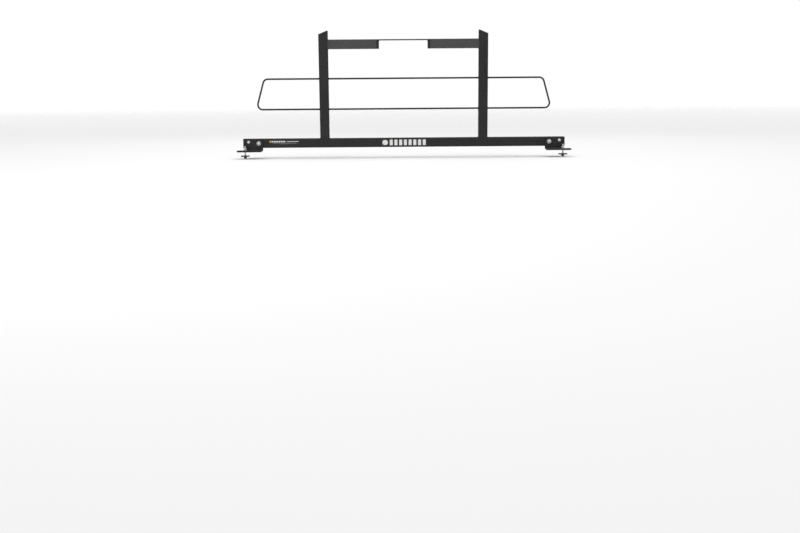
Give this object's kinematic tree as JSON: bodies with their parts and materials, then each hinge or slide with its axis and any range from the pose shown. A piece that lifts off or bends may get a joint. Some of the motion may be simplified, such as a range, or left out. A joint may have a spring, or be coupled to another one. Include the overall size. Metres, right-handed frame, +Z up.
{
  "type": "headache rack",
  "caption": "Black steel rack that stands behind a pickup's cab: a base beam, mitred uprights, a crossbar with a lamp window, round guard rods and clamp-on bed-rail brackets.",
  "frame": {"origin": "on the plane of the bed-rail tops that the foot pads rest on, under the middle of the base beam", "axes": "+X across the truck, to the right as seen from the tailgate; +Y towards the cab; +Z up"},
  "size_m": [1.84, 0.1428, 0.692],
  "materials": {
    "powder_black": "satin, fine-textured powder coat",
    "crossbar_black": "satin powder coat, a little lighter",
    "cap_plastic": "moulded black plastic",
    "pad_rubber": "matt black rubber",
    "zinc": "bright zinc plate",
    "dark_zinc": "black zinc plate",
    "label_vinyl": "printed vinyl"
  },
  "bodies": {
    "root": {"base_beam": "powder_black", "beam_end_cap_left": "cap_plastic", "beam_end_cap_right": "cap_plastic", "post_left": "powder_black", "post_right": "powder_black", "post_cap_left": "powder_black", "post_cap_right": "powder_black", "crossbar": "crossbar_black", "window_end_left": "powder_black", "window_end_right": "powder_black", "guard_rod_upper": "powder_black", "guard_rod_lower": "powder_black", "wing_rod_left": "powder_black", "wing_rod_right": "powder_black", "beam_bolt_left_inner": "zinc", "beam_bolt_left_outer": "zinc", "beam_bolt_right_inner": "zinc", "beam_bolt_right_outer": "zinc", "bolt_washer_left_inner": "zinc", "bolt_washer_left_outer": "dark_zinc", "bolt_washer_right_inner": "zinc", "bolt_washer_right_outer": "dark_zinc", "nut_washer_left_inner": "zinc", "nut_washer_left_outer": "zinc", "nut_washer_right_inner": "zinc", "nut_washer_right_outer": "zinc", "beam_nut_left_inner": "zinc", "beam_nut_left_outer": "zinc", "beam_nut_right_inner": "zinc", "beam_nut_right_outer": "zinc", "centre_label": "label_vinyl", "side_label": "label_vinyl"},
    "bracket_left": {"mount_bracket_left": "powder_black", "foot_pad_left": "pad_rubber", "clamp_washer_left": "zinc", "clamp_lock_washer_left": "zinc"},
    "bracket_right": {"mount_bracket_right": "powder_black", "foot_pad_right": "pad_rubber", "clamp_washer_right": "zinc", "clamp_lock_washer_right": "zinc"},
    "clamp_screw_left": {"clamp_stud_left": "zinc", "clamp_stud_nut_left": "zinc"},
    "clamp_screw_right": {"clamp_stud_right": "zinc", "clamp_stud_nut_right": "zinc"},
    "clamp_jaw_left": {"clamp_plate_left": "dark_zinc", "clamp_nut_left": "dark_zinc"},
    "clamp_jaw_right": {"clamp_plate_right": "dark_zinc", "clamp_nut_right": "dark_zinc"}
  },
  "joints": [
    {"name": "bracket_slide_left", "type": "slide", "parent": "root", "child": "bracket_left", "axis": [-1, 0, 0], "range_m": [-0.006, 0.006]},
    {"name": "bracket_slide_right", "type": "slide", "parent": "root", "child": "bracket_right", "axis": [1, 0, 0], "range_m": [-0.006, 0.006]},
    {"name": "clamp_screw_turn_left", "type": "hinge", "parent": "bracket_left", "child": "clamp_screw_left", "pos_m": [-0.876, -0.066, 0], "axis": [0, 0, -1], "range_deg": [0, 3600]},
    {"name": "clamp_screw_turn_right", "type": "hinge", "parent": "bracket_right", "child": "clamp_screw_right", "pos_m": [0.876, -0.066, 0], "axis": [0, 0, -1], "range_deg": [0, 3600]},
    {"name": "clamp_jaw_slide_left", "type": "slide", "parent": "bracket_left", "child": "clamp_jaw_left", "axis": [0, 0, 1], "range_m": [0, 0.01588]},
    {"name": "clamp_jaw_slide_right", "type": "slide", "parent": "bracket_right", "child": "clamp_jaw_right", "axis": [0, 0, 1], "range_m": [0, 0.01588]}
  ],
  "couplings": [
    {"joint": "clamp_screw_turn_left", "follows": "clamp_jaw_slide_left", "rad_per_m": 3957.9},
    {"joint": "clamp_screw_turn_right", "follows": "clamp_jaw_slide_right", "rad_per_m": 3957.9}
  ]
}
